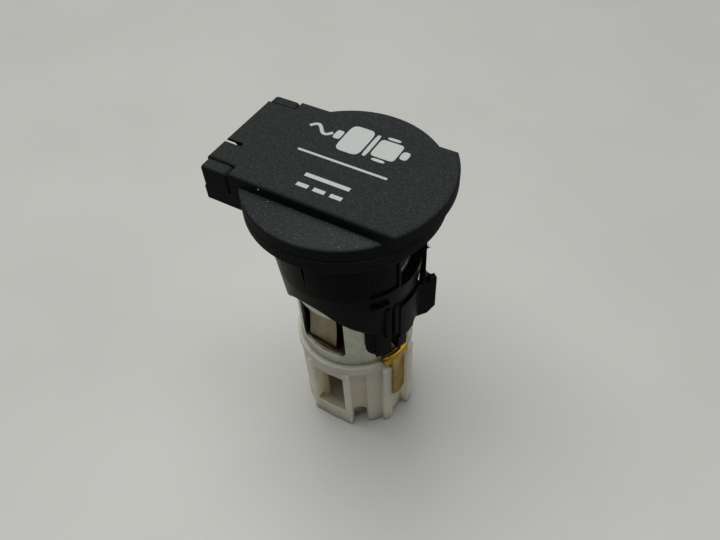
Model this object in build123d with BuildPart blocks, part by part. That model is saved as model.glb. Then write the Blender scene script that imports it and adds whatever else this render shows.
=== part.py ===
from build123d import *
import os
from math import cos, radians, sin, sqrt

# Heights of the stack, from the base that the socket stands on up to the lid
housing_height = 23.3
barrel_height = 36.4
flange_thickness = 2.8
lid_gap = 0.3
disc_thickness = 2.4
strip_rise = 2.3

# Steel shell: a plug body of about 21 mm slides into the bore
bore_radius = 10.7
shell_wall = 0.8
shell_lip_width = 1.5
shell_seat_depth = 2.7
mouth_bevel = 0.5
bead_level = 23.2
bead_half_height = 1.0
bead_rise = 0.35
window_level = 2.9
window_height = 12.2
window_width = 10.6
window_corner = 1.4
socket_turn = -6.0

# Ground springs: one leaf behind each window of the shell
leaf_width = 6.8
leaf_thickness = 0.4
leaf_bow = 0.9
leaf_offset = 1.0
leaf_bend_rise = 2.0
leaf_overhang = 5.6
leaf_tip_gap = 0.5
weld_gap = 0.02

# Black mounting sleeve round the shell
relief_gap = 0.8
sleeve_wall = 1.7
collar_width = 2.0
collar_thickness = 1.4
grip_length = 4.5
straight_length = 12.2
skirt_length = 26.4
skirt_taper = 0.083
arch_drop = 15.7
arch_radius = 6.0
arch_slope = 46.4
leg_start = -12.0
leg_end = -1.5
leg_foot_gap = 2.1
leg_thickness = 1.8
tongue_start = -42.5
tongue_end = -17.5
tongue_foot_gap = 2.2
tongue_thickness = 0.8
tongue_corner = 4.0
tongue_pad_start = -33.5
tongue_pad_rise = 0.4
latch_window_start = -12.0
latch_window_end = 31.0
latch_window_drop = 6.2
latch_window_height = 6.5
wing_thickness = 1.2
wing_bend_bearing = 16.0
wing_tip_bearing = 25.2
wing_reach = 2.6
wing_drop = 18.7
wing_height = 9.8
wing_chamfer = 1.7
wing_lip = 0.6
wing_notch_bearing = 10.5
wing_notch_radius = 1.4
wing_gap = 0.6
arm_width = 5.0
arm_overlap = 1.0
arm_drop = 5.0
arm_thickness = 1.2
arm_rise = 0.65
arm_flare = 2.6
arm_foot_drop = 3.4
rib_bearings = (-23.0, -15.0)
rib_width = 1.1
rib_depth = 2.2
rib_drop = 17.6
rib_length = 9.0
panel_start = -38.0
panel_end = -14.0
panel_drop = 5.3
panel_height = 6.9
panel_depth = 0.4
ledge_drop = 14.8
ledge_height = 0.7
wedge_bearings = (-111.0, -87.0)
wedge_width = 0.8
wedge_drop = 3.2
wedge_length = 8.0
wedge_depth = 0.5

# Bezel: flange with two hinge ears
flange_overhang = 3.9
flange_round = 0.5
hinge_overhang = 3.6
strip_half_width = 11.3
ear_width = 2.1
ear_length = 5.6
ear_drop = 0.4
ear_round = 0.9
ear_side_round = 0.5

# Lid: round cover disc under a raised strip
disc_inset = 0.05
disc_round = 0.6
lip_overhang = 1.5
strip_round = 0.7
hinge_drop = 1.6
hinge_side_gap = 0.2
notch_gap = 0.3
pin_radius = 0.9
pin_length = 1.1
slit_offset = 4.1
slit_width = 0.9
slit_length = 3.8
slit_skin = 0.55
pocket_length = 2.6
pocket_width = 1.8
seal_side_gap = 0.6
seal_wall = 1.2
seal_gap = 0.2
lid_skin = 1.9

# Natural nylon connector housing
housing_wall = 0.7
rim_rise = 0.3
rim_height = 2.4
spigot_height = 2.0
spigot_wall = 1.8
well_depth = 2.2
partition = 1.5
cavity_length = 16.0
cavity_width = 15.0
cavity_corner = 1.0
frame_inset = 0.15
frame_half_width = 4.9
lock_half_width = 3.6
lock_sill = 5.5
lock_height = 13.3
lock_wall = 1.7
recess_start = -66.5
recess_end = -50.0
recess_depth = 0.7
foot_arch_width = 3.0
foot_arch_height = 6.0
column_bearing = -40.0
column_radius = 2.4
guide_bearing = -28.4
guide_width = 2.2
guide_rise = 1.1
cheek_width = 2.2
cheek_drop = 1.0

# Contacts
base_thickness = 2.2
contact_radius = 4.6
contact_sheet = 0.5
contact_rise = 0.6
rivet_radius = 1.6
rivet_head_radius = 2.6
rivet_head_height = 0.7
rivet_tail_radius = 2.4
rivet_tail_height = 0.6
washer_radius = 3.0
washer_thickness = 0.4
blade_width = 6.3
blade_thickness = 0.8
blade_bevel = 1.2
blade_tip = 4.0
terminal_reach = 5.6
terminal_ring_radius = 3.6
bend_radius = 1.0
ground_width = 4.7
ground_offset = 3.1
ground_tip = 8.0
ground_bevel = 2.4
clip_start = -32.0
clip_end = -3.0
clip_sheet = 0.6
clip_height = 2.0
clip_rise = 1.4
flap_length = 2.2
clip_margin = 1.0

# Clearances
fit_gap = 0.1
slip_gap = 0.05
blade_gap = 0.15
pin_gap = 0.05

# Levels and radii worked out from the stack and the bore
flange_bottom = housing_height + barrel_height
flange_top = flange_bottom + flange_thickness
lid_bottom = flange_top + lid_gap
disc_top = lid_bottom + disc_thickness
lid_top = disc_top + strip_rise
collar_top = flange_bottom + collar_thickness
shell_radius = bore_radius + shell_wall
shell_lip_radius = shell_radius + shell_lip_width
groove_radius = shell_radius + slip_gap
body_radius = shell_radius + housing_wall
rim_radius = body_radius + rim_rise
guide_radius = body_radius + guide_rise
frame_face = body_radius - frame_inset
relief_radius = shell_radius + relief_gap
sleeve_radius = relief_radius + sleeve_wall
collar_radius = sleeve_radius + collar_width
flange_radius = sleeve_radius + flange_overhang
mouth_radius = bore_radius + mouth_bevel
hinge_reach = flange_radius + hinge_overhang
disc_radius = flange_radius - disc_inset
lip_radius = flange_radius + lip_overhang
seal_radius = bore_radius - seal_side_gap
shell_lip_top = collar_top - fit_gap
shell_lip_bottom = shell_lip_top - shell_wall
shell_bottom = housing_height - shell_seat_depth
spigot_top = shell_bottom + spigot_height
base_top = spigot_top + base_thickness
window_bottom = housing_height + window_level
window_top = window_bottom + window_height
bead_middle = housing_height + bead_level
hinge_x = ear_length / 2 - hinge_reach
hinge_z = lid_top - hinge_drop
ear_inner = strip_half_width - ear_width
clip_top = housing_height + clip_rise
clip_bottom = clip_top - clip_height
leg_bottom = clip_top + leg_foot_gap
tongue_bottom = clip_top + tongue_foot_gap
seal_bottom = shell_lip_top - mouth_bevel + seal_gap

# The shell and its sleeve are turned a little from the line of the lid
turned = Plane.XY.rotated((0, 0, socket_turn))
turned_front = Plane((0, 0, 0), x_dir=turned.x_dir, z_dir=-turned.y_dir)


def polar(radius, bearing):
    """Point at a radius and a bearing in degrees about the barrel's axis."""
    return (radius * cos(radians(bearing)), radius * sin(radians(bearing)))


def on_side(bearing, side):
    """Bearing on the near side (1), or its mirror image on the far side (-1)."""
    return bearing if side > 0 else 180 - bearing


def ring_sector(inner, outer, start, end):
    """Flat face between two radii and two bearings about the barrel's axis."""
    with BuildSketch() as sector:
        with BuildLine():
            CenterArc((0, 0), inner, start, end - start)
            CenterArc((0, 0), outer, start, end - start)
            for bearing in (start, end):
                Line(polar(inner, bearing), polar(outer, bearing))
        make_face()
    return sector.sketch


os.makedirs("parts", exist_ok=True)

# Steel shell: drawn tube with a turned lip, a rolled bead and two windows
with BuildPart() as socket_shell:
    bead_low = bead_middle - bead_half_height
    bead_high = bead_middle + bead_half_height
    with BuildSketch(Plane.XZ):
        with BuildLine():
            Polyline(
                (shell_radius, bead_low),
                (shell_radius, shell_bottom),
                (bore_radius, shell_bottom),
                (bore_radius, bead_low),
            )
            ThreePointArc(
                (bore_radius, bead_low),
                (bore_radius + bead_rise, bead_middle),
                (bore_radius, bead_high),
            )
            Polyline(
                (bore_radius, bead_high),
                (bore_radius, shell_lip_top - mouth_bevel),
                (bore_radius + mouth_bevel, shell_lip_top),
                (shell_lip_radius, shell_lip_top),
                (shell_lip_radius, shell_lip_bottom),
                (shell_radius, shell_lip_bottom),
                (shell_radius, bead_high),
            )
            ThreePointArc(
                (shell_radius, bead_high),
                (shell_radius + bead_rise, bead_middle),
                (shell_radius, bead_low),
            )
        make_face()
    revolve(axis=Axis.Z)
    with BuildSketch(turned_front):
        with Locations((0, (window_bottom + window_top) / 2)):
            RectangleRounded(window_width, window_height, window_corner)
    extrude(amount=2 * shell_radius, both=True, mode=Mode.SUBTRACT)
socket_shell.part.label = "socket_shell"
export_step(socket_shell.part, "parts/socket_shell.step")

# Ground springs: bowed leaves welded inside the shell above its windows
leaf_outer = sqrt(bore_radius**2 - (leaf_width / 2 + leaf_offset) ** 2) - weld_gap
leaf_middle = leaf_outer - leaf_thickness / 2
leaf_bottom = window_bottom + leaf_tip_gap
leaf_bend = window_top + leaf_bend_rise
leaf_top = window_top + leaf_overhang
for side, facing in (("front", -turned.y_dir), ("rear", turned.y_dir)):
    leaf_plane = Plane((0, 0, 0), x_dir=facing, z_dir=facing.cross(Vector(0, 0, 1)))
    with BuildPart() as ground_spring:
        with BuildSketch(leaf_plane.offset(leaf_offset)):
            with BuildLine():
                Line((leaf_middle, leaf_top), (leaf_middle, leaf_bend))
                ThreePointArc(
                    (leaf_middle, leaf_bend),
                    (leaf_middle - leaf_bow, (leaf_bend + leaf_bottom) / 2),
                    (leaf_middle, leaf_bottom),
                )
            trace(line_width=leaf_thickness)
        extrude(amount=leaf_width / 2, both=True)
    ground_spring.part.label = f"ground_spring_{side}"
    export_step(ground_spring.part, f"parts/ground_spring_{side}.step")

# Mounting sleeve: collar, tapered skirt arched over the windows, legs and spring wings
with BuildPart() as mounting_sleeve:
    skirt_bottom = flange_bottom - skirt_length
    straight_bottom = flange_bottom - straight_length
    grip_bottom = flange_bottom - grip_length
    skirt_foot_radius = sleeve_radius - skirt_taper * (straight_bottom - skirt_bottom)
    grip_radius = shell_radius + fit_gap
    arch_top = flange_bottom - arch_drop
    with BuildSketch(Plane.XZ):
        with BuildLine():
            Polyline(
                (grip_radius, skirt_bottom),
                (skirt_foot_radius, skirt_bottom),
                (sleeve_radius, straight_bottom),
                (sleeve_radius, flange_bottom),
                (collar_radius, flange_bottom),
                (collar_radius, collar_top),
                (shell_lip_radius + fit_gap, collar_top),
                (shell_lip_radius + fit_gap, shell_lip_bottom),
                (grip_radius, shell_lip_bottom),
                (grip_radius, grip_bottom),
                (relief_radius, grip_bottom),
                (relief_radius, arch_top),
                (grip_radius, arch_top),
                (grip_radius, skirt_bottom),
            )
        make_face()
    revolve(axis=Axis.Z)
    with BuildSketch(turned_front):
        shoulder_x = arch_radius * sin(radians(arch_slope))
        shoulder_z = arch_top - arch_radius * (1 - cos(radians(arch_slope)))
        flank = 1.2 * skirt_length
        foot_x = shoulder_x + flank * cos(radians(arch_slope))
        foot_z = shoulder_z - flank * sin(radians(arch_slope))
        with BuildLine():
            ThreePointArc((-shoulder_x, shoulder_z), (0, arch_top), (shoulder_x, shoulder_z))
            Polyline(
                (shoulder_x, shoulder_z),
                (foot_x, foot_z),
                (-foot_x, foot_z),
                (-shoulder_x, shoulder_z),
            )
        make_face()
    extrude(amount=2 * sleeve_radius, both=True, mode=Mode.SUBTRACT)
    wing_top = flange_bottom - wing_drop
    wing_bottom = wing_top - wing_height
    wing_middle = sleeve_radius - wing_thickness / 2
    for side in (1, -1):
        leg_near = on_side(leg_start, side)
        leg_far = on_side(leg_end, side)
        window_near = on_side(latch_window_start, side)
        window_far = on_side(latch_window_end, side)
        bend_bearing = on_side(wing_bend_bearing, side)
        panel_near = on_side(panel_start, side)
        panel_far = on_side(panel_end, side)
        with BuildSketch(turned.offset(flange_bottom - latch_window_drop)):
            add(ring_sector(bore_radius, collar_radius, window_near, window_far))
        extrude(amount=-latch_window_height, mode=Mode.SUBTRACT)
        with BuildSketch(turned.offset(wing_top + wing_gap)):
            add(ring_sector(bore_radius, collar_radius, leg_far, window_far))
        extrude(amount=-skirt_length, mode=Mode.SUBTRACT)
        with BuildSketch(turned.offset(leg_bottom)):
            add(ring_sector(grip_radius, grip_radius + leg_thickness, leg_near, leg_far))
        extrude(amount=arch_top - leg_bottom)
        with BuildSketch(turned.offset(wing_top)):
            add(ring_sector(sleeve_radius - wing_thickness, sleeve_radius, leg_near, bend_bearing))
        extrude(amount=-wing_height)
        notch_plane = Plane.XZ.rotated((0, 0, 90 + socket_turn + on_side(wing_notch_bearing, side)))
        with BuildSketch(notch_plane.offset(sleeve_radius - 2 * wing_thickness)):
            with Locations((0, wing_bottom)):
                Circle(wing_notch_radius)
        extrude(amount=collar_radius, mode=Mode.SUBTRACT)
        bend = turned.from_local_coords(Vector(*polar(wing_middle, bend_bearing), wing_top))
        tip_place = polar(sleeve_radius + wing_reach, on_side(wing_tip_bearing, side))
        flare = turned.from_local_coords(Vector(*tip_place, wing_top)) - bend
        with BuildSketch(Plane(bend, x_dir=flare, z_dir=flare.cross(Vector(0, 0, 1)))):
            with BuildLine():
                Polyline(
                    (-wing_thickness / 2, 0),
                    (flare.length - wing_thickness - wing_lip, 0),
                    (flare.length - wing_thickness, wing_lip),
                    (flare.length, wing_lip),
                    (flare.length, wing_chamfer - wing_height),
                    (flare.length - wing_chamfer, -wing_height),
                    (-wing_thickness / 2, -wing_height),
                    close=True,
                )
            make_face()
        extrude(amount=wing_thickness / 2, both=True)
        arm_middle = sleeve_radius + arm_rise - arm_thickness / 2
        arm_foot = (sleeve_radius + wing_reach - arm_thickness / 2, wing_top - arm_foot_drop)
        arm_bend = (arm_middle, arm_foot[1] + arm_flare)
        for start in (latch_window_end, wing_tip_bearing - arm_overlap):
            whole = start == latch_window_end
            arm_end = latch_window_end + arm_width
            arm_near = on_side(start, side)
            with BuildSketch(Plane.XZ.rotated((0, 0, socket_turn + arm_near))):
                with BuildLine():
                    if whole:
                        Line((arm_middle, flange_bottom - arm_drop), arm_bend)
                    TangentArc(arm_bend, arm_foot, tangent=(0, -1))
                trace(line_width=arm_thickness)
            revolve(axis=Axis.Z, revolution_arc=side * (arm_end - start))
        for rib_bearing in rib_bearings:
            rib_plane = turned.offset(flange_bottom - rib_drop).rotated((0, 0, on_side(rib_bearing, side)))
            with BuildSketch(rib_plane):
                with Locations((grip_radius, 0)):
                    Rectangle(rib_depth, rib_width, align=(Align.MIN, Align.CENTER))
            extrude(amount=-rib_length)
        with BuildSketch(turned.offset(flange_bottom - panel_drop)):
            add(ring_sector(sleeve_radius - panel_depth, collar_radius, panel_near, panel_far))
        extrude(amount=-panel_height, mode=Mode.SUBTRACT)
        with BuildSketch(turned.offset(flange_bottom - ledge_drop)):
            ledge_end = on_side(rib_bearings[0], side)
            add(ring_sector(relief_radius, sleeve_radius + panel_depth, panel_near, ledge_end))
        extrude(amount=-ledge_height)
    tongue_radius = grip_radius + tongue_thickness
    with BuildSketch(turned.offset(tongue_bottom)):
        add(ring_sector(grip_radius, tongue_radius, tongue_start, tongue_end))
    extrude(amount=arch_top - tongue_bottom)
    corner = turned.from_local_coords(Vector(*polar(tongue_radius, tongue_start), tongue_bottom))
    corner_edges = mounting_sleeve.edges().filter_by(lambda edge: edge.length < 2 * tongue_thickness)
    fillet(corner_edges.sort_by_distance(corner)[0], radius=tongue_corner)
    with BuildSketch(turned.offset(tongue_bottom)):
        add(ring_sector(grip_radius, tongue_radius + tongue_pad_rise, tongue_pad_start, tongue_end))
    extrude(amount=arch_top - tongue_bottom)
    wedge_top = flange_bottom - wedge_drop
    for bearing in wedge_bearings:
        wedge_plane = Plane.XZ.rotated((0, 0, 90 + socket_turn + bearing))
        with BuildSketch(wedge_plane.offset(sleeve_radius - wedge_depth)):
            with BuildLine():
                Polyline(
                    (-wedge_width / 2, wedge_top),
                    (wedge_width / 2, wedge_top),
                    (wedge_width / 2, wedge_top - wedge_length),
                    close=True,
                )
            make_face()
        extrude(amount=collar_radius, mode=Mode.SUBTRACT)
mounting_sleeve.part.label = "mounting_sleeve"
export_step(mounting_sleeve.part, "parts/mounting_sleeve.step")

# Bezel: flange ring over the sleeve's collar, with two ears for the lid's pins
with BuildPart() as bezel:
    ear_height = lid_top - ear_drop - flange_bottom
    ear_middle = strip_half_width - ear_width / 2
    for side in (-1, 1):
        ear_plane = Plane((hinge_x, side * ear_middle, flange_bottom), x_dir=(1, 0, 0), z_dir=(0, -1, 0))
        with BuildSketch(ear_plane) as ear_sketch:
            Rectangle(ear_length, ear_height, align=(Align.CENTER, Align.MIN))
            fillet(ear_sketch.vertices().group_by(Axis.Z)[-1], radius=ear_round)
        extrude(amount=ear_width / 2, both=True)
    upper_edges = bezel.edges().filter_by(lambda edge: edge.center().Z > flange_top)
    outer_edges = upper_edges.filter_by(lambda edge: abs(edge.center().Y) > strip_half_width - fit_gap)
    fillet(outer_edges, radius=ear_side_round)
    with BuildSketch(Plane.XY.offset(flange_bottom)):
        Circle(flange_radius)
        with Locations((-hinge_reach / 2, 0)):
            Rectangle(hinge_reach, 2 * strip_half_width)
    extrude(amount=flange_thickness)
    with BuildSketch(Plane.XY.offset(flange_bottom)):
        Circle(collar_radius + fit_gap)
    extrude(amount=collar_thickness, mode=Mode.SUBTRACT)
    with BuildSketch(Plane.XY.offset(flange_bottom)):
        Circle(mouth_radius)
    extrude(amount=flange_thickness, mode=Mode.SUBTRACT)
    for side in (-1, 1):
        hole_mouth = (hinge_x, side * ear_inner, hinge_z)
        with BuildSketch(Plane(hole_mouth, x_dir=(1, 0, 0), z_dir=(0, side, 0))):
            Circle(pin_radius + pin_gap)
        extrude(amount=pin_length + fit_gap, mode=Mode.SUBTRACT)
    mouth_edges = bezel.edges().filter_by(GeomType.CIRCLE).filter_by(
        lambda edge: abs(edge.radius - mouth_radius) < slip_gap
    )
    chamfer(mouth_edges.sort_by(Axis.Z)[-1], length=mouth_bevel)
    rim_edges = bezel.edges().filter_by(GeomType.CIRCLE).filter_by(
        lambda edge: abs(edge.radius - flange_radius) < slip_gap
    )
    fillet(rim_edges, radius=flange_round)
bezel.part.label = "bezel"
export_step(bezel.part, "parts/bezel.step")

# Lid: strip with a finger lip over a round disc, moulded with its pins and sealing ring
with BuildPart() as lid:
    knuckle_half = ear_inner - hinge_side_gap
    notch_x = hinge_x + ear_length / 2 + notch_gap
    corner_x = sqrt(lip_radius**2 - strip_half_width**2)
    strip_bottom = disc_top - strip_round / 2
    with BuildSketch(Plane.XY.offset(strip_bottom)):
        with BuildLine():
            Polyline(
                (corner_x, -strip_half_width),
                (notch_x, -strip_half_width),
                (notch_x, -knuckle_half),
                (-hinge_reach, -knuckle_half),
                (-hinge_reach, knuckle_half),
                (notch_x, knuckle_half),
                (notch_x, strip_half_width),
                (corner_x, strip_half_width),
            )
            ThreePointArc(
                (corner_x, strip_half_width),
                (lip_radius, 0),
                (corner_x, -strip_half_width),
            )
        make_face()
    extrude(amount=lid_top - strip_bottom)
    fillet(lid.faces().sort_by(Axis.Z)[-1].edges(), radius=strip_round)
    with BuildSketch(Plane.XZ):
        with BuildLine():
            Polyline(
                (disc_radius - disc_round, disc_top),
                (0, disc_top),
                (0, lid_bottom),
                (disc_radius, lid_bottom),
                (disc_radius, disc_top - disc_round),
            )
            RadiusArc(
                (disc_radius, disc_top - disc_round),
                (disc_radius - disc_round, disc_top),
                -disc_round,
            )
        make_face()
    revolve(axis=Axis.Z)
    with BuildSketch(Plane.XY.offset(lid_bottom)):
        with Locations((notch_x, 0)):
            Rectangle(-notch_x, 2 * strip_half_width, align=(Align.MIN, Align.CENTER))
    extrude(amount=strip_bottom - lid_bottom)
    with BuildSketch(Plane.XZ):
        knuckle_top = lid_top - strip_round
        knuckle_bottom = hinge_z - ear_length / 2
        with BuildLine():
            Polyline(
                (hinge_x, knuckle_bottom),
                (notch_x, knuckle_bottom),
                (notch_x, knuckle_top),
                (-hinge_reach, knuckle_top),
                (-hinge_reach, hinge_z),
            )
            ThreePointArc(
                (-hinge_reach, hinge_z),
                (hinge_x - ear_length / 2 * sin(radians(45)), hinge_z - ear_length / 2 * sin(radians(45))),
                (hinge_x, knuckle_bottom),
            )
        make_face()
    extrude(amount=knuckle_half, both=True)
    with BuildSketch(Plane.XY.offset(lid_bottom)):
        Circle(seal_radius)
    extrude(amount=seal_bottom - lid_bottom)
    with BuildSketch(Plane.XY.offset(seal_bottom)):
        Circle(seal_radius - seal_wall)
    extrude(amount=lid_top - lid_skin - seal_bottom, mode=Mode.SUBTRACT)
    with BuildSketch(Plane.XY.offset(lid_bottom)):
        Circle(disc_radius - lid_skin)
        Circle(seal_radius + seal_wall, mode=Mode.SUBTRACT)
    extrude(amount=disc_thickness / 2, mode=Mode.SUBTRACT)
    with BuildSketch(Plane.XY.offset(lid_bottom)):
        with Locations((-hinge_reach, -slit_offset)):
            Rectangle(2 * slit_length, slit_width)
    extrude(amount=lid_top - lid_bottom, mode=Mode.SUBTRACT)
    with BuildSketch(Plane.XY.offset(lid_bottom)):
        with Locations((-hinge_reach, -slit_offset)):
            Rectangle(2 * pocket_length, slit_width / 2 + pocket_width, align=(Align.CENTER, Align.MIN))
    extrude(amount=lid_top - slit_skin - lid_bottom, mode=Mode.SUBTRACT)
    for side in (-1, 1):
        pin_root = (hinge_x, side * (knuckle_half - pin_length), hinge_z)
        with BuildSketch(Plane(pin_root, x_dir=(1, 0, 0), z_dir=(0, side, 0))):
            Circle(pin_radius)
        extrude(amount=2 * pin_length + hinge_side_gap)
lid.part.label = "lid"
export_step(lid.part, "parts/lid.step")

# Connector housing: natural nylon cup that holds the shell and opens downwards for the plug
with BuildPart() as connector_housing:
    cavity_top = shell_bottom + spigot_height - well_depth - partition
    spigot_radius = bore_radius - fit_gap
    rim_bottom = housing_height - rim_height
    with BuildSketch(Plane.XY):
        Circle(body_radius)
        with Locations((0, -frame_face)):
            Rectangle(2 * frame_half_width, frame_face, align=(Align.CENTER, Align.MIN))
        with Locations(Rotation(0, 0, guide_bearing)):
            Rectangle(guide_radius, guide_width, align=(Align.MIN, Align.CENTER))
        recess_floor = body_radius - recess_depth
        add(ring_sector(recess_floor, guide_radius, recess_start, recess_end), mode=Mode.SUBTRACT)
        with Locations(polar(body_radius - column_radius, column_bearing)):
            Circle(column_radius)
    extrude(amount=rim_bottom)
    with BuildSketch(Plane.XY.offset(rim_bottom)):
        Circle(rim_radius)
    extrude(amount=rim_height)
    slot_side = ground_width / 2 + blade_gap - ground_offset
    with BuildSketch(Plane.XY):
        with Locations((0, slot_side)):
            Rectangle(guide_radius, cheek_width, align=(Align.MIN, Align.MIN))
    extrude(amount=housing_height - cheek_drop)
    with BuildSketch(Plane.XY.offset(shell_bottom)):
        Circle(groove_radius)
        Circle(spigot_radius, mode=Mode.SUBTRACT)
    extrude(amount=shell_seat_depth, mode=Mode.SUBTRACT)
    with BuildSketch(Plane.XY.offset(spigot_top)):
        Circle(groove_radius)
    extrude(amount=housing_height - spigot_top, mode=Mode.SUBTRACT)
    with BuildSketch(Plane.XY.offset(spigot_top)):
        Circle(spigot_radius - spigot_wall)
    extrude(amount=-well_depth, mode=Mode.SUBTRACT)
    with BuildSketch(Plane.XY):
        RectangleRounded(cavity_length, cavity_width, cavity_corner)
    extrude(amount=cavity_top, mode=Mode.SUBTRACT)
    # Groove that the plug's locking tab slides along, up to the lock window
    with BuildSketch(Plane.XY):
        with Locations((0, lock_wall - frame_face)):
            Rectangle(2 * lock_half_width, frame_face / 2, align=(Align.CENTER, Align.MIN))
    extrude(amount=lock_sill + lock_height, mode=Mode.SUBTRACT)
    with BuildSketch(Plane.XZ):
        with Locations((0, lock_sill)):
            Rectangle(2 * lock_half_width, lock_height, align=(Align.CENTER, Align.MIN))
    extrude(amount=2 * frame_face, mode=Mode.SUBTRACT)
    with BuildSketch(Plane.XY.offset(cavity_top)):
        with Locations((-terminal_reach, 0)):
            Rectangle(blade_thickness + 2 * blade_gap, blade_width + 2 * blade_gap)
    extrude(amount=partition, mode=Mode.SUBTRACT)
    arch_bearing = (recess_start + recess_end) / 2
    with BuildSketch(Plane.XZ.rotated((0, 0, 90 + arch_bearing))):
        arch_crown = foot_arch_height - foot_arch_width / 2
        Rectangle(foot_arch_width, arch_crown, align=(Align.CENTER, Align.MIN))
        with Locations((0, arch_crown)):
            Circle(foot_arch_width / 2)
    extrude(amount=guide_radius, mode=Mode.SUBTRACT)
    with BuildSketch(Plane.XY):
        with Locations((groove_radius, -ground_offset)):
            Rectangle(guide_radius, ground_width + 2 * blade_gap, align=(Align.MIN, Align.CENTER))
    extrude(amount=housing_height, mode=Mode.SUBTRACT)
    with BuildSketch(Plane.XY.offset(clip_bottom - blade_gap)):
        add(ring_sector(bore_radius, guide_radius, clip_start - clip_margin, clip_end + clip_margin))
    extrude(amount=housing_height, mode=Mode.SUBTRACT)
connector_housing.part.label = "connector_housing"
export_step(connector_housing.part, "parts/connector_housing.step")

# Insulating base: disc inside the shell's foot that carries the positive contact
with BuildPart() as insulator_base:
    with BuildSketch(Plane.XY.offset(spigot_top)):
        Circle(bore_radius - fit_gap)
        Circle(rivet_radius + slip_gap, mode=Mode.SUBTRACT)
    extrude(amount=base_thickness)
    chamfer(insulator_base.edges().sort_by(Axis.Z)[-2:].sort_by(SortBy.LENGTH)[-1], length=contact_sheet)
insulator_base.part.label = "insulator_base"
export_step(insulator_base.part, "parts/insulator_base.step")

# Centre contact: pressed dish that the tip of the plug pushes on
with BuildPart() as centre_contact:
    with BuildSketch(Plane.XZ):
        with BuildLine():
            Polyline(
                (rivet_radius + slip_gap, base_top),
                (contact_radius, base_top),
                (contact_radius, base_top + contact_sheet + contact_rise),
                (contact_radius - contact_sheet, base_top + contact_sheet + contact_rise),
                (contact_radius - 2 * contact_sheet, base_top + contact_sheet),
                (rivet_radius + slip_gap, base_top + contact_sheet),
                close=True,
            )
        make_face()
    revolve(axis=Axis.Z)
centre_contact.part.label = "centre_contact"
export_step(centre_contact.part, "parts/centre_contact.step")

# Contact rivet: clamps the dish, the base, the positive terminal and the washer together
terminal_top = spigot_top
terminal_bottom = terminal_top - blade_thickness
washer_bottom = terminal_bottom - washer_thickness
with BuildPart() as contact_rivet:
    head_bottom = base_top + contact_sheet
    with BuildSketch(Plane.XZ):
        with BuildLine():
            Polyline(
                (0, head_bottom + rivet_head_height),
                (0, washer_bottom - rivet_tail_height),
                (rivet_tail_radius, washer_bottom - rivet_tail_height),
                (rivet_tail_radius, washer_bottom),
                (rivet_radius, washer_bottom),
                (rivet_radius, head_bottom),
                (rivet_head_radius, head_bottom),
            )
            RadiusArc(
                (rivet_head_radius, head_bottom),
                (0, head_bottom + rivet_head_height),
                -(rivet_head_radius**2 + rivet_head_height**2) / (2 * rivet_head_height),
            )
        make_face()
    revolve(axis=Axis.Z)
contact_rivet.part.label = "contact_rivet"
export_step(contact_rivet.part, "parts/contact_rivet.step")

# Rivet washer: spreads the rivet's tail over the terminal
with BuildPart() as rivet_washer:
    with BuildSketch(Plane.XY.offset(washer_bottom)):
        Circle(washer_radius)
        Circle(rivet_radius + slip_gap, mode=Mode.SUBTRACT)
    extrude(amount=washer_thickness)
rivet_washer.part.label = "rivet_washer"
export_step(rivet_washer.part, "parts/rivet_washer.step")

# Positive terminal: ring under the base, bent down through the partition into a blade
with BuildPart() as positive_terminal:
    with BuildSketch(Plane.XZ):
        strip_level = (terminal_top + terminal_bottom) / 2
        with BuildLine():
            FilletPolyline(
                (0, strip_level),
                (-terminal_reach, strip_level),
                (-terminal_reach, blade_tip),
                radius=bend_radius,
            )
        trace(line_width=blade_thickness)
    extrude(amount=blade_width / 2, both=True)
    tip_edges = positive_terminal.edges().group_by(Axis.Z)[0].filter_by(Axis.X)
    chamfer(tip_edges, length=blade_bevel)
    with BuildSketch(Plane.XY.offset(terminal_bottom)):
        Circle(terminal_ring_radius)
    extrude(amount=blade_thickness)
    with BuildSketch(Plane.XY.offset(terminal_bottom)):
        Circle(rivet_radius + slip_gap)
    extrude(amount=blade_thickness, mode=Mode.SUBTRACT)
positive_terminal.part.label = "positive_terminal"
export_step(positive_terminal.part, "parts/positive_terminal.step")

# Ground terminal: brass blade outside the shell, with a strip folded over the housing's rim
with BuildPart() as ground_terminal:
    with BuildSketch(Plane.YZ.offset(groove_radius + slip_gap)):
        with Locations((-ground_offset, ground_tip)):
            Rectangle(ground_width, housing_height - ground_tip, align=(Align.CENTER, Align.MIN))
    extrude(amount=blade_thickness)
    tip_edges = ground_terminal.edges().group_by(Axis.Z)[0].filter_by(Axis.X)
    chamfer(tip_edges.sort_by(Axis.Y)[0], length=ground_bevel)
    inner_leg = groove_radius + clip_sheet / 2
    outer_leg = rim_radius + slip_gap + clip_sheet / 2
    fold_level = clip_top - clip_sheet / 2
    with BuildSketch(Plane.XZ.rotated((0, 0, clip_start))):
        with BuildLine():
            FilletPolyline(
                (inner_leg, clip_bottom),
                (inner_leg, fold_level),
                (outer_leg, fold_level),
                (outer_leg, clip_top - flap_length),
                radius=(outer_leg - inner_leg) / 2 - slip_gap,
            )
        trace(line_width=clip_sheet)
    revolve(axis=Axis.Z, revolution_arc=clip_end - clip_start)
ground_terminal.part.label = "ground_terminal"
export_step(ground_terminal.part, "parts/ground_terminal.step")
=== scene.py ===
from math import radians

import bmesh
import bpy
import numpy as np
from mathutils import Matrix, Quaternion, Vector


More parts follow.
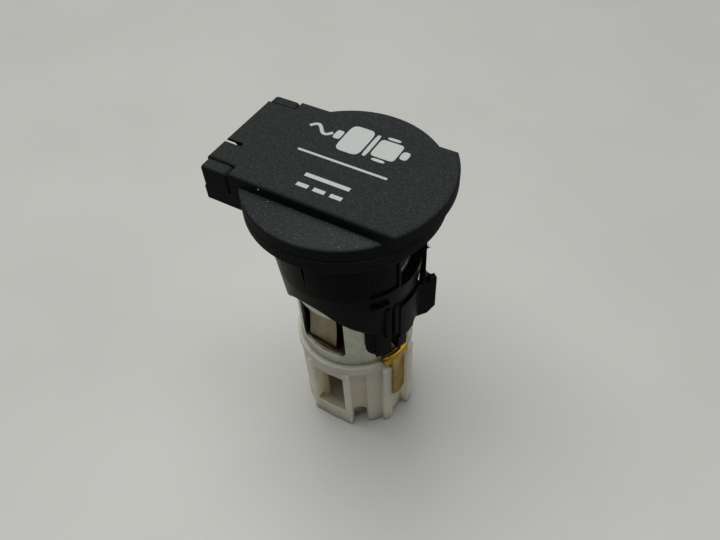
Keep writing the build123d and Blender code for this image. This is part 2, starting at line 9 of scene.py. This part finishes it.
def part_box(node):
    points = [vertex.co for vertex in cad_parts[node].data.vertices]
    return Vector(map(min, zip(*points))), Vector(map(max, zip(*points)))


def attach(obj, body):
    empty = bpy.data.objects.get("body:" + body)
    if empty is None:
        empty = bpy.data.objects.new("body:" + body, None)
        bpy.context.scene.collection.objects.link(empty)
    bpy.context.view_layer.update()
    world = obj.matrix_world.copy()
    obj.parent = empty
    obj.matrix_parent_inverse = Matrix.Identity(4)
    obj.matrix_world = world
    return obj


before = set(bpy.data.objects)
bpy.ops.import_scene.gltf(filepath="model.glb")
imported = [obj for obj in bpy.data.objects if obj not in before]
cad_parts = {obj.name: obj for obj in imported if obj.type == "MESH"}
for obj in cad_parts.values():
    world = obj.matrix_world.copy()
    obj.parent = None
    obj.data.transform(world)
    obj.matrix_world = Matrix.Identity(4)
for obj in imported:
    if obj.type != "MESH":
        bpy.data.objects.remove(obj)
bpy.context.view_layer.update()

# Connector housing
# The foot is one moulding of natural nylon, milky enough to let some light through its walls.
# The steel barrel is pressed into its top, and the car's plug goes in from below.

mm = 0.001


class Signal:
    """One output of a material's nodes; arithmetic on it adds Math nodes to that material."""

    def __init__(self, socket):
        self.socket = socket
        self.tree = socket.id_data

    def node(self, kind, settings, values, output=0):
        """A new node of any kind: its settings first, then each socket's value or link."""
        made = self.tree.nodes.new("ShaderNode" + kind)
        for name, setting in settings.items():
            setattr(made, name, setting)
        for name, value in values.items():
            if isinstance(value, Signal):
                self.tree.links.new(value.socket, made.inputs[name])
            else:
                made.inputs[name].default_value = value
        return Signal(made.outputs[output])

    def math(self, operation, first, second):
        """A Math node on two values or signals."""
        return self.node("Math", {"operation": operation}, {0: first, 1: second})

    def __add__(self, other):
        return self.math("ADD", self, other)

    def __radd__(self, other):
        return self.math("ADD", other, self)

    def __sub__(self, other):
        return self.math("SUBTRACT", self, other)

    def __rsub__(self, other):
        return self.math("SUBTRACT", other, self)

    def __mul__(self, other):
        return self.math("MULTIPLY", self, other)

    def __rmul__(self, other):
        return self.math("MULTIPLY", other, self)

    def rise(self, low, high):
        """0 below low and 1 above high, with a smooth step between them."""
        settings = {"interpolation_type": "SMOOTHSTEP"}
        return self.node("MapRange", settings, {"Value": self, "From Min": low, "From Max": high})

    def tint(self, low_colour, high_colour):
        """Colour that goes from the first to the second as this value goes from 0 to 1."""
        ends = [c if isinstance(c, Signal) else (*c, 1.0) for c in (low_colour, high_colour)]
        return self.node("Mix", {"data_type": "RGBA"}, {0: self, 6: ends[0], 7: ends[1]}, output=2)

    def noise(self, size, stretch=(1, 1, 1), detail=2.0):
        """Noise from 0 to 1 with features of that size in metres, longer where stretch is more."""
        scale = tuple(1 / (size * longer) for longer in stretch)
        scaled = self.node("Mapping", {}, {"Vector": self, "Scale": scale})
        return scaled.node("TexNoise", {}, {"Vector": scaled, "Scale": 1.0, "Detail": detail})

    def part(self, axis):
        """One coordinate, X, Y or Z, of a vector."""
        return self.node("SeparateXYZ", {}, {"Vector": self}, output=axis)


def new_finish(name, constants):
    """A material with one Principled shader, its even values, and the Object coordinates."""
    material = bpy.data.materials.new(name)
    material.use_nodes = True
    shader = material.node_tree.nodes["Principled BSDF"]
    for socket, value in constants.items():
        shader.inputs[socket].default_value = value
    coordinates = material.node_tree.nodes.new("ShaderNodeTexCoord")
    return material, shader, Signal(coordinates.outputs["Object"])


def drive(node, feeds):
    """Links each signal to the node's socket of that name."""
    for socket, signal in feeds.items():
        node.id_data.links.new(signal.socket, node.inputs[socket])


def rounded_normal(place, edge_radius):
    """Normal of a face as if its edges were rounded to that radius."""
    return place.node("Bevel", {"samples": 6}, {"Radius": edge_radius})


def relief(place, edge_radius, height, depth):
    """Normal of a face with rounded edges and a relief of that depth in metres."""
    rounded = rounded_normal(place, edge_radius)
    return place.node("Bump", {}, {"Height": height, "Distance": depth, "Normal": rounded})


def facing_up(place, low, high):
    """1 on faces that look up and 0 on sides: a step on the upward share of the piece's own normal."""
    return place.node("TexCoord", {}, {}, output="Normal").part("Z").rise(low, high)


def dress(material, *nodes):
    """Puts a finish on CAD pieces by name."""
    for node in nodes:
        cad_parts[node].material_slots[0].material = material


nylon_milk = (0.865, 0.835, 0.69)
nylon_shade = (0.77, 0.735, 0.585)
nylon_grime_and_shade = (0.26, 0.24, 0.20)
nylon_sill_shade_colour = (0.09, 0.082, 0.066)
nylon_edge = 0.35 * mm
nylon_depth = 0.02 * mm
nylon_light_reach = 6.0 * mm
nylon_light_through = 0.35
foot_shade_full, foot_shade_gone = 0.2 * mm, 5.0 * mm
sill_top, sill_clear = 7 * mm, 9 * mm
nylon, nylon_shader, nylon_place = new_finish(
    "natural_nylon",
    {
        "Subsurface Weight": 1.0,
        "Subsurface Radius": (1.0, 0.94, 0.86),
        "Subsurface Scale": nylon_light_reach,
        "IOR": 1.53,
    },
)
nylon_height = nylon_place.part("Z")
nylon_cloud = nylon_place.noise(7 * mm, detail=3.0)
nylon_flow = nylon_place.noise(0.9 * mm, stretch=(1, 1, 6))
nylon_smudge = nylon_place.noise(3.5 * mm, detail=4.0).rise(0.60, 0.78)
# Painted shade: the nylon is darker towards the foot.
nylon_foot_shade = 1 - nylon_height.rise(foot_shade_full, foot_shade_gone)
# Painted shade: the lock window's sill, low in the housing and facing up, is darkened.
nylon_sill_shade = facing_up(nylon_place, 0.5, 0.9) * (1 - nylon_height.rise(sill_top, sill_clear))
nylon_colour = nylon_cloud.rise(0.3, 0.7).tint(nylon_shade, nylon_milk)
# The grime colour goes on random smudges, which are real grime, and on the painted shade at the foot.
nylon_colour = (0.28 * nylon_smudge + 0.16 * nylon_foot_shade).tint(nylon_colour, nylon_grime_and_shade)
nylon_colour = (nylon_sill_shade * (0.75 + 0.25 * nylon_smudge)).tint(nylon_colour, nylon_sill_shade_colour)
drive(
    nylon_shader,
    {
        "Base Color": nylon_colour,
        "Roughness": 0.34 + 0.14 * nylon_flow + 0.12 * nylon_smudge,
        "Normal": relief(nylon_place, nylon_edge, nylon_flow, nylon_depth),
    },
)
nylon_solid = Signal(nylon_shader.outputs["BSDF"])
nylon_lit = nylon_place.node("BsdfTranslucent", {}, {"Color": (*nylon_milk, 1.0)})
nylon_parts = {"Fac": nylon_light_through, 1: nylon_solid, 2: nylon_lit}
nylon_surface = nylon_place.node("MixShader", {}, nylon_parts)
drive(nylon.node_tree.nodes["Material Output"], {"Surface": nylon_surface})
dress(nylon, "connector_housing")

# Insulating base
# A disc punched from dark brown pressed laminate, seated on the housing inside the shell's foot.
# It carries the contact for the plug's tip, and its paper layers show as faint mottling.

laminate_light = (0.085, 0.046, 0.024)
laminate_dark = (0.045, 0.024, 0.013)
laminate_edge = 0.15 * mm
laminate_depth = 0.02 * mm
laminate, laminate_shader, laminate_place = new_finish("brown_laminate", {"IOR": 1.55})
laminate_fibre = laminate_place.noise(0.4 * mm, stretch=(5, 1, 1), detail=4.0)
drive(
    laminate_shader,
    {
        "Base Color": laminate_fibre.rise(0.3, 0.7).tint(laminate_dark, laminate_light),
        "Roughness": 0.42 + 0.2 * laminate_fibre,
        "Normal": relief(laminate_place, laminate_edge, laminate_fibre, laminate_depth),
    },
)
dress(laminate, "insulator_base")

# Contact stack
# The plug's tip presses on a plated dish. A brass rivet clamps dish, base, terminal and washer,
# and the positive terminal is pressed from the same brass strip as the ground terminal.


def edges_of(place, edge_radius):
    """1 on edges and 0 on faces: how far the rounded normal leans from the face's own."""
    rounded = rounded_normal(place, edge_radius)
    own = place.node("NewGeometry", {}, {}, output="Normal")
    settings = {"operation": "DOT_PRODUCT"}
    same = place.node("VectorMath", settings, {0: rounded, 1: own}, output="Value")
    return (1 - same).rise(0.01, 0.25)


brass_bright = (0.38, 0.245, 0.034)
brass_dark = (0.21, 0.108, 0.012)
brass_glancing = (0.97, 0.92, 0.80, 1.0)
brass_edge = 0.2 * mm
brass_depth = 0.003 * mm
blade_top, fold_bottom = 19 * mm, 22 * mm
brass, brass_shader, brass_place = new_finish(
    "bright_brass", {"Metallic": 1.0, "Specular Tint": brass_glancing}
)
# The brass is darker below the fold, towards the blade, on top of its random stains.
brass_darker_below = 1 - brass_place.part("Z").rise(blade_top, fold_bottom)
brass_spots = brass_place.noise(3.0 * mm, detail=3.0).rise(0.42, 0.85)
brass_stains_and_low_dark = 0.5 * brass_darker_below + 0.5 * brass_spots
brass_rolled = brass_place.noise(0.12 * mm, stretch=(1, 1, 30))
brass_worn = edges_of(brass_place, brass_edge)
drive(
    brass_shader,
    {
        "Base Color": (brass_stains_and_low_dark * (1 - 0.8 * brass_worn)).tint(brass_bright, brass_dark),
        "Roughness": 0.20 + 0.22 * brass_stains_and_low_dark + 0.08 * brass_rolled,
        "Normal": relief(brass_place, brass_edge, brass_rolled, brass_depth),
    },
)
dress(brass, "contact_rivet", "positive_terminal", "ground_terminal")

plate_bright = (0.70, 0.69, 0.66)
plate_burnt = (0.36, 0.33, 0.29)
plate_edge = 0.15 * mm
plate_depth = 0.01 * mm
plate, plate_shader, plate_place = new_finish("plated_contact", {"Metallic": 1.0})
plate_turned = plate_place.noise(0.5 * mm, detail=4.0)
plate_spot = plate_place.noise(1.6 * mm, detail=3.0).rise(0.5, 0.75)
drive(
    plate_shader,
    {
        "Base Color": plate_spot.tint(plate_bright, plate_burnt),
        "Roughness": 0.22 + 0.25 * plate_spot + 0.1 * plate_turned,
        "Normal": relief(plate_place, plate_edge, plate_turned, plate_depth),
    },
)
dress(plate, "centre_contact")

# Steel shell
# The barrel is drawn from steel strip and zinc plated. The plate has a soft bluish shine with
# a mottled spangle and faint lines up and down from the drawing die.

zinc_blue = (0.35, 0.38, 0.33)
zinc_bright = (0.45, 0.47, 0.395)
zinc_straw = (0.41, 0.385, 0.265)
zinc_edge = 0.2 * mm
zinc_depth = 0.012 * mm
zinc, zinc_shader, zinc_place = new_finish("zinc_plate", {"Metallic": 1.0})
zinc_spangle = zinc_place.noise(1.4 * mm, stretch=(1, 1, 2), detail=4.0)
zinc_drawn = zinc_place.noise(0.22 * mm, stretch=(1, 1, 40))
zinc_height = 0.6 * zinc_spangle + 0.4 * zinc_drawn
zinc_cast = zinc_place.noise(7 * mm).rise(0.45, 0.75)
zinc_colour = zinc_spangle.rise(0.35, 0.65).tint(zinc_blue, zinc_bright)
zinc_colour = (0.45 * zinc_cast).tint(zinc_colour, zinc_straw)
drive(
    zinc_shader,
    {
        "Base Color": zinc_colour,
        "Roughness": 0.24 + 0.2 * zinc_spangle + 0.08 * zinc_drawn,
        "Normal": relief(zinc_place, zinc_edge, zinc_height, zinc_depth),
    },
)
dress(zinc, "socket_shell", "rivet_washer")

# Ground springs
# Bowed leaves of spring strip behind the shell's windows, which press on the side of a plug.
# They are duller and browner than the shell, with rolling marks along the leaf.

leaf_grey = (0.245, 0.207, 0.138)
leaf_brown = (0.175, 0.143, 0.087)
leaf_edge = 0.12 * mm
leaf_depth = 0.008 * mm
leaf, leaf_shader, leaf_place = new_finish("spring_strip", {"Metallic": 1.0})
leaf_rolled = leaf_place.noise(0.16 * mm, stretch=(1, 1, 45))
leaf_stain = leaf_place.noise(2 * mm, stretch=(1, 1, 3), detail=4.0)
drive(
    leaf_shader,
    {
        "Base Color": leaf_stain.rise(0.35, 0.7).tint(leaf_grey, leaf_brown),
        "Roughness": 0.34 + 0.16 * leaf_rolled,
        "Normal": relief(leaf_place, leaf_edge, leaf_rolled, leaf_depth),
    },
)
dress(leaf, "ground_spring_front", "ground_spring_rear")

# Mounting sleeve
# A smooth black moulding that grips the shell and springs into the panel's hole with its wings.
# It has faint flow lines up and down, dust on its ledges and scuffs where the panel rubs.

sleeve_black = (0.0035, 0.0037, 0.0035)
sleeve_scuff = (0.014, 0.014, 0.0125)
sleeve_dust = (0.05, 0.047, 0.04)
sleeve_shine = 0.025
sleeve_edge = 0.25 * mm
sleeve_depth = 0.03 * mm
sleeve, sleeve_shader, sleeve_place = new_finish(
    "smooth_black_moulding", {"Specular IOR Level": sleeve_shine}
)
sleeve_flow = sleeve_place.noise(1.4 * mm, stretch=(1, 1, 5), detail=3.0)
sleeve_rub = sleeve_place.noise(0.25 * mm, stretch=(1, 1, 25), detail=3.0).rise(0.62, 0.80)
sleeve_ledge = facing_up(sleeve_place, 0.55, 0.9)
sleeve_speckle = sleeve_place.noise(0.3 * mm, detail=5.0).rise(0.48, 0.68)
sleeve_worn = edges_of(sleeve_place, sleeve_edge)
sleeve_colour = (0.35 * sleeve_rub + 0.5 * sleeve_worn).tint(sleeve_black, sleeve_scuff)
sleeve_colour = (0.5 * sleeve_ledge * sleeve_speckle).tint(sleeve_colour, sleeve_dust)
drive(
    sleeve_shader,
    {
        "Base Color": sleeve_colour,
        "Roughness": 0.27 + 0.12 * sleeve_flow + 0.15 * sleeve_rub,
        "Normal": relief(sleeve_place, sleeve_edge, sleeve_flow, sleeve_depth),
    },
)
dress(sleeve, "mounting_sleeve")

# Bezel and lid
# Both are moulded in black plastic with a fine etched grain, and the lid's pins snap into the
# bezel's ears. They are charcoal and matt, with painted shade on their sides. Painted glints lie on
# what looks up, and a painted sheen lightens the disc's near side, stronger towards the finger lip.

grain_black = (0.0140, 0.0160, 0.0160)
grain_peak = (0.0300, 0.0345, 0.0345)
grain_side_shade = (0.0035, 0.0040, 0.0038)
grain_sheen_colour = (0.075, 0.098, 0.095)
grain_glint_colour = (0.080, 0.088, 0.088)
grain_shine = 0.02
grain_edge = 0.15 * mm
grain_depth = 0.05 * mm
disc_above, strip_below = 65.3 * mm, 66.0 * mm
near_side, strip_edge = -12 * mm, -9 * mm
sheen_start, sheen_full = -10 * mm, 10 * mm
grained, grained_shader, grained_place = new_finish(
    "grained_black_moulding", {"Specular IOR Level": grain_shine}
)
grain_fine = grained_place.noise(0.20 * mm)
grain_coarse = grained_place.noise(0.55 * mm)
grain_height = 0.65 * grain_fine + 0.35 * grain_coarse
grain_cloud = grained_place.noise(9 * mm, detail=3.0)
grain_glint_specks = grained_place.noise(0.26 * mm, detail=1.0).rise(0.62, 0.76)
grain_worn = edges_of(grained_place, grain_edge)
grain_top = facing_up(grained_place, 0.2, 0.9)
grain_disc = grain_top * (1 - grained_place.part("Z").rise(disc_above, strip_below))
grain_near = 1 - grained_place.part("Y").rise(near_side, strip_edge)
grain_painted_sheen = grain_disc * grain_near * grained_place.part("X").rise(sheen_start, sheen_full)
grain_colour = (0.8 * grain_fine.rise(0.42, 0.72) + 0.3 * grain_worn).tint(grain_black, grain_peak)
# Painted shade: faces that do not look up are darker than the tops.
grain_colour = (0.6 - 0.6 * grain_top).tint(grain_colour, grain_side_shade)
# Painted sheen: the disc's near side is lighter and bluer, stronger towards the finger lip.
grain_colour = (0.09 * grain_painted_sheen).tint(grain_colour, grain_sheen_colour)
# Painted glints: pale specks in the colour on upward faces, more on the disc.
grain_painted_glint = (0.25 * grain_top + 0.55 * grain_disc) * grain_glint_specks
drive(
    grained_shader,
    {
        "Base Color": grain_painted_glint.tint(grain_colour, grain_glint_colour),
        "Roughness": 0.50 + 0.16 * grain_cloud - 0.10 * grain_worn,
        "Normal": relief(grained_place, grain_edge, grain_height, grain_depth),
    },
)
dress(grained, "bezel", "lid")

# Print on the lid
# White ink printed flat on the raised strip: a plain sign of a plug on its lead, a thin rule
# and the common sign for direct current. The ink is a few hundredths of a millimetre thick.


def add_piece(name, surfaces, material, body):
    """One mesh from grids of points in metres, with seams and poles merged and faces outwards."""
    corners = np.concatenate([grid.reshape(-1, 3) for grid in surfaces])
    quads = []
    start = 0
    for grid in surfaces:
        index = start + np.arange(grid[..., 0].size).reshape(grid.shape[:2])
        around = [index[:-1, :-1], index[:-1, 1:], index[1:, 1:], index[1:, :-1]]
        quads.append(np.stack(around, axis=-1).reshape(-1, 4))
        start += index.size
    mesh = bpy.data.meshes.new(name)
    mesh.from_pydata(corners.tolist(), [], np.concatenate(quads).tolist())
    shape = bmesh.new()
    shape.from_mesh(mesh)
    bmesh.ops.remove_doubles(shape, verts=shape.verts, dist=1e-7)
    bmesh.ops.dissolve_degenerate(shape, edges=shape.edges, dist=1e-8)
    bmesh.ops.recalc_face_normals(shape, faces=shape.faces)
    shape.to_mesh(mesh)
    shape.free()
    mesh.materials.append(material)
    piece = bpy.data.objects.new(name, mesh)
    bpy.context.scene.collection.objects.link(piece)
    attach(piece, body)


print_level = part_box("lid")[1].z
ink_rise = 0.03 * mm
ink_root = 0.05 * mm


def lift(flat, heights):
    """Points of the plane, each raised to the strip's top plus its height."""
    levels = np.broadcast_to(print_level + heights, flat.shape[:2])
    return np.concatenate([flat, levels[..., None]], axis=-1)


def rounded_block(middle_x, middle_y, half_length, half_width, squareness):
    """Flat slab of ink with a superellipse outline: |x/a|^n + |y/b|^n = 1 round its middle.

    Rows go from the middle of the top out to the rim, down its side and back in underneath."""
    angle = np.linspace(0, 2 * np.pi, 65)
    along, across = np.cos(angle), np.sin(angle)
    power = np.abs(along / half_length) ** squareness + np.abs(across / half_width) ** squareness
    radius = power ** (-1 / squareness)
    spokes = np.stack([radius * along, radius * across], axis=-1)
    shares = np.array([0.0, 0.5, 1.0, 1.0, 0.0])
    heights = np.array([ink_rise, ink_rise, ink_rise, -ink_root, -ink_root])
    flat = np.array([middle_x, middle_y]) + shares[:, None, None] * spokes
    return lift(mm * flat, heights[:, None])


def ribbon(path, width):
    """Stroke of constant width along a path: each point moves half the width to both sides.

    Columns go round the stroke's section, and each end closes on the section's middle."""
    path = np.array(path)
    along = np.gradient(path, axis=0)
    along /= np.linalg.norm(along, axis=1, keepdims=True)
    side = np.stack([-along[:, 1], along[:, 0]], axis=-1) * width / 2
    shares = np.array([-1.0, -1.0, 1.0, 1.0, -1.0])
    heights = np.array([-ink_root, ink_rise, ink_rise, -ink_root, -ink_root])
    flat = path[:, None] + shares[:, None] * side[:, None]
    grid = lift(mm * flat, heights)
    ends = [np.broadcast_to(grid[row, :4].mean(axis=0), (1, 5, 3)) for row in (0, -1)]
    return np.concatenate([ends[0], grid, ends[1]])


plug_line = 5.9
lead_start, lead_end = -10.3, -5.5
lead_sway = 0.95
lead_width = 0.65
lead_x = np.linspace(lead_start, lead_end, 48)
lead_turn = 2 * np.pi * (lead_x - lead_start) / (lead_end - lead_start)
lead = np.stack([lead_x, plug_line + lead_sway * np.sin(lead_turn)], axis=-1)
prong_offset = 3.0
# Each block's middle x and y, half length, half width and squareness, from the lead to the tip.
plug_blocks = [
    (-4.4, plug_line, 0.72, 1.15, 4),
    (-1.0, plug_line, 2.35, 3.55, 5),
    (2.15, plug_line, 0.42, 3.0, 5),
    (5.2, plug_line, 2.25, 2.3, 7),
    (8.5, plug_line, 0.75, 1.05, 3),
    (5.0, plug_line + prong_offset, 1.25, 0.33, 3),
    (5.0, plug_line - prong_offset, 1.25, 0.33, 3),
]
rule_half_length, rule_line = 8.6, -0.45
rule_width = 0.5
current_left, current_right = -3.9, 4.6
bar_line, dash_line = -5.4, -7.9
current_width = 0.85
dash_length = 2.2
dash_starts = np.linspace(current_left, current_right - dash_length, 3)
strokes = [ribbon(lead, lead_width)]
strokes += [rounded_block(*block) for block in plug_blocks]
strokes += [ribbon([(-rule_half_length, rule_line), (rule_half_length, rule_line)], rule_width)]
strokes += [ribbon([(current_left, bar_line), (current_right, bar_line)], current_width)]
strokes += [
    ribbon([(dash, dash_line), (dash + dash_length, dash_line)], current_width)
    for dash in dash_starts
]

ink_white = (0.30, 0.325, 0.315)
ink_thin = (0.15, 0.16, 0.16)
ink_edge = 0.05 * mm
ink_depth = 0.02 * mm
ink, ink_shader, ink_place = new_finish("white_ink", {"IOR": 1.45})
ink_grain = ink_place.noise(0.22 * mm)
ink_pinholes = ink_place.noise(0.16 * mm, detail=1.0).rise(0.62, 0.74)
drive(
    ink_shader,
    {
        "Base Color": (0.7 * ink_pinholes).tint(ink_white, ink_thin),
        "Roughness": 0.52 + 0.12 * ink_grain,
        "Normal": relief(ink_place, ink_edge, ink_grain, ink_depth),
    },
)
add_piece("lid_print", strokes, ink, "lid")

# Dust and painted glints on the lid
# A pale crumb hangs on the strip's near side and one lies on the disc below it. Pale specks at the
# disc's end by the finger lip are painted glints. They are lumps a tenth to a third of a millimetre
# across.

lump_swell = 0.25
lump_narrow = 0.7
lump_flat = 0.3
lump_turn = 2.4


def speck_lump(place, size, turn):
    """Flattened lump: an ellipsoid whose radius swells and shrinks three times on the way round."""
    around = np.linspace(0, 2 * np.pi, 13)
    up = np.linspace(-np.pi / 2, np.pi / 2, 7)[:, None]
    radius = size / 2 * (1 + lump_swell * np.sin(3 * around + turn)) * np.cos(up)
    x = place[0] + radius * np.cos(around + turn)
    y = place[1] + lump_narrow * radius * np.sin(around + turn)
    z = place[2] + lump_flat * size * (1 + np.sin(up))
    return np.stack(np.broadcast_arrays(x, y, z), axis=-1)


disc_level = 65.2
disc_flat = 17.0
strip_side = 11.35
speck_draw = np.random.default_rng(12)
# Painted glints: pale specks scattered at the disc's end by the finger lip.
glint_speck_count = 12
glint_speck_x = speck_draw.uniform(4.5, 12.2, glint_speck_count)
glint_speck_y = -speck_draw.uniform(strip_side, np.sqrt(disc_flat**2 - glint_speck_x**2))
glint_speck_sizes = speck_draw.uniform(0.07, 0.14, glint_speck_count)
speck_places = [(-9.2, -strip_side, 66.5), (-7.2, -11.9, disc_level)]
speck_places += [(x, y, disc_level) for x, y in zip(glint_speck_x, glint_speck_y)]
speck_sizes = [0.34, 0.26, *glint_speck_sizes]
dust_and_glint_specks = [
    speck_lump(mm * np.array(place), mm * size, lump_turn * number)
    for number, (place, size) in enumerate(zip(speck_places, speck_sizes))
]
dust_and_glint_dark = (0.15, 0.15, 0.14)
dust_and_glint_pale = (0.32, 0.31, 0.29)
dust_and_glint, dust_and_glint_shader, dust_and_glint_place = new_finish("pale_dust_and_glints", {"Roughness": 0.9})
dust_and_glint_tone = dust_and_glint_place.noise(0.1 * mm, detail=3.0).rise(0.3, 0.7)
drive(dust_and_glint_shader, {"Base Color": dust_and_glint_tone.tint(dust_and_glint_dark, dust_and_glint_pale)})
add_piece("lid_dust_and_glints", dust_and_glint_specks, dust_and_glint, "lid")

# Flash on the sleeve
# A thin whisker of plastic left by the mould stands off the sleeve's arm, beside the latch
# window. It forks into two short hairs.

hair_taper = 0.6


def hair(root, tip, sag, root_radius):
    """Tapered hair: a circle of radius r(1-t)^0.6 carried along root + t(tip-root) + t(1-t)sag."""
    share = np.linspace(0, 1, 9)[:, None]
    angle = np.linspace(0, 2 * np.pi, 9)
    root, tip, sag = np.array(root), np.array(tip), np.array(sag)
    path = root + share * (tip - root) + share * (1 - share) * sag
    along = (tip - root) / np.linalg.norm(tip - root)
    side = np.cross(along, (0.0, 1.0, 0.0))
    side /= np.linalg.norm(side)
    across = np.cross(along, side)
    radius = root_radius * (1 - share) ** hair_taper
    circle = np.cos(angle)[:, None] * side + np.sin(angle)[:, None] * across
    return mm * (path[:, None] + radius[:, None] * circle)


whisker = [
    hair(root=(13.1, 6.15, 47.2), tip=(14.0, 6.2, 48.1), sag=(0.1, 0.0, -0.25), root_radius=0.17),
    hair(root=(13.3, 6.15, 47.5), tip=(13.55, 6.1, 48.7), sag=(0.15, 0.0, 0.1), root_radius=0.12),
]
add_piece("sleeve_flash", whisker, sleeve, "socket")

# Floor
# A plain pale surface for the socket to stand on.
# It is one large square, level with the housing's foot.

floor_half = 3.0
floor_dark = (0.325, 0.325, 0.315)
floor_pale = (0.375, 0.375, 0.365)
floor_cloud_size = 0.05
floor_corners = floor_half * np.array([(-1, -1, 0), (1, -1, 0), (1, 1, 0), (-1, 1, 0)])
floor_mesh = bpy.data.meshes.new("floor")
floor_mesh.from_pydata(floor_corners.tolist(), [], [(0, 1, 2, 3)])
floor_finish, floor_shader, floor_place = new_finish("pale_floor", {"Roughness": 0.55})
floor_cloud = floor_place.noise(floor_cloud_size, detail=3.0)
drive(floor_shader, {"Base Color": floor_cloud.tint(floor_dark, floor_pale)})
floor_mesh.materials.append(floor_finish)
floor = bpy.data.objects.new("floor", floor_mesh)
bpy.context.scene.collection.objects.link(floor)

# Studio light
# One broad soft lamp overhead, a little behind the socket on the hinge side, a weak one to the
# right, and a dim even sky.

socket_middle = Vector((0.0, 0.0, 0.035))


def lamp(name, place, width, power, colour):
    """Square area lamp at a place in metres, turned to face the middle of the socket."""
    light = bpy.data.lights.new(name, "AREA")
    light.size = width
    light.energy = power
    light.color = colour
    holder = bpy.data.objects.new(name, light)
    holder.location = place
    holder.rotation_euler = (socket_middle - Vector(place)).to_track_quat("-Z", "Y").to_euler()
    bpy.context.scene.collection.objects.link(holder)


lamp("key_lamp", place=(-0.19, 0.07, 0.92), width=0.9, power=14.2, colour=(1.0, 0.99, 0.96))
lamp("side_lamp", place=(0.70, 0.25, 0.45), width=0.5, power=1.2, colour=(1.0, 1.0, 1.0))

sky_colour = (0.93, 0.96, 1.0, 1.0)
sky_strength = 0.07
sky = bpy.data.worlds.new("studio_sky")
sky.use_nodes = True
sky.node_tree.nodes["Background"].inputs["Color"].default_value = sky_colour
sky.node_tree.nodes["Background"].inputs["Strength"].default_value = sky_strength
bpy.context.scene.world = sky
bpy.context.scene.view_settings.view_transform = "Standard"

# Camera
# It looks down on the lid from the near side, with the hinge to the left and a slight roll.

camera_place = Vector((0.046342, -0.068501, 0.135929))
camera_aim = Vector((-0.35438, 0.54784, -0.75782))
camera_roll = Quaternion((0, 0, 1), radians(-3.655))
camera_view = radians(58.70)
nearest_seen = 0.005
eye = bpy.data.cameras.new("camera")
eye.angle = camera_view
eye.clip_start = nearest_seen
camera = bpy.data.objects.new("camera", eye)
camera.location = camera_place
camera.rotation_mode = "QUATERNION"
camera.rotation_quaternion = camera_aim.to_track_quat("-Z", "Y") @ camera_roll
bpy.context.scene.collection.objects.link(camera)
bpy.context.scene.camera = camera
